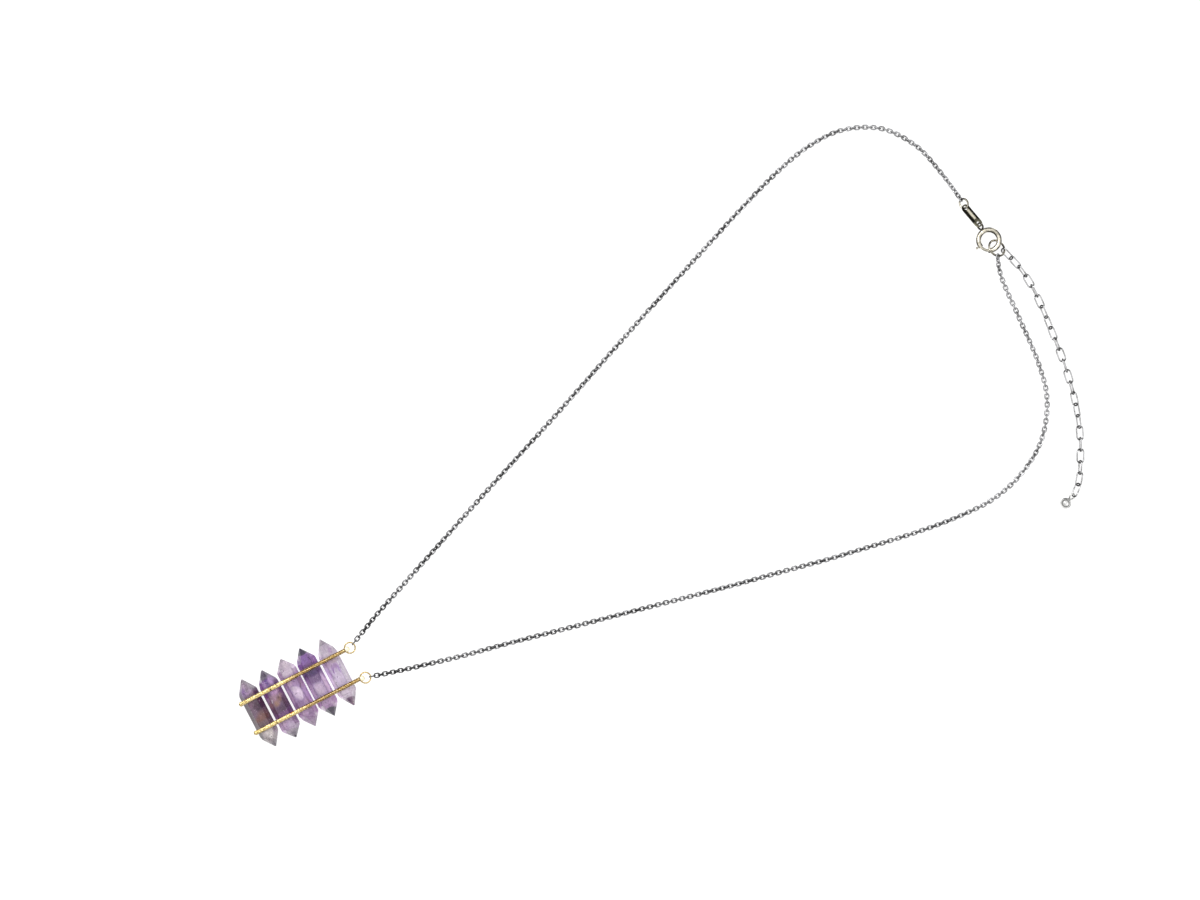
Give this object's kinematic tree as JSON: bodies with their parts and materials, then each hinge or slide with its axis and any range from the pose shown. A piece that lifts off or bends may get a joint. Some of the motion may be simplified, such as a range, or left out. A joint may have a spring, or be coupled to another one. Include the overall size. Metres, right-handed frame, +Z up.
{
  "type": "crystal point pendant necklace",
  "caption": "Necklace lying flat: a ladder pendant of double-pointed purple crystals under two gold bars, on a fine silver chain with a spring ring clasp and an extender.",
  "frame": {"origin": "centre of the middle crystal's back facet, on the surface that the necklace lies on", "axes": "+X along the crystals, +Y along the bars from their free ends to the chain and clasp, +Z up, out of the crystals' front facets"},
  "size_m": [0.0963, 0.1952, 0.0048],
  "materials": {
    "smoky_crystal": "polished, cloudy inside",
    "banded_crystal": "polished, cloudy inside",
    "lilac_crystal": "polished, cloudy inside",
    "violet_crystal": "polished, cloudy inside",
    "pale_crystal": "polished, cloudy inside",
    "gold": "diamond cut, gold coloured",
    "chain_silver": "polished silver, dark in the recesses",
    "clasp_silver": "polished, warm silver"
  },
  "bodies": {
    "necklace": {"crystal_1": "smoky_crystal", "crystal_2": "banded_crystal", "crystal_3": "lilac_crystal", "crystal_4": "violet_crystal", "crystal_5": "pale_crystal", "upper_bar": "gold", "lower_bar": "gold", "upper_chain": "chain_silver", "lower_chain": "chain_silver", "tag_ring": "clasp_silver", "tag_plate": "clasp_silver", "clasp_ring": "clasp_silver", "joining_ring": "clasp_silver", "extender_chain": "chain_silver", "end_drop": "clasp_silver"},
    "trigger": {"clasp_trigger": "clasp_silver"}
  },
  "joints": [
    {"name": "trigger_slide", "type": "hinge", "parent": "necklace", "child": "trigger", "pos_m": [-0.018, 0.1781, 0.00111], "axis": [-0.0667, -0.0204, 0.9976], "range_deg": [-48, 0], "stiffness_Nm_per_rad": 0.002, "springref_deg": 5.73}
  ]
}
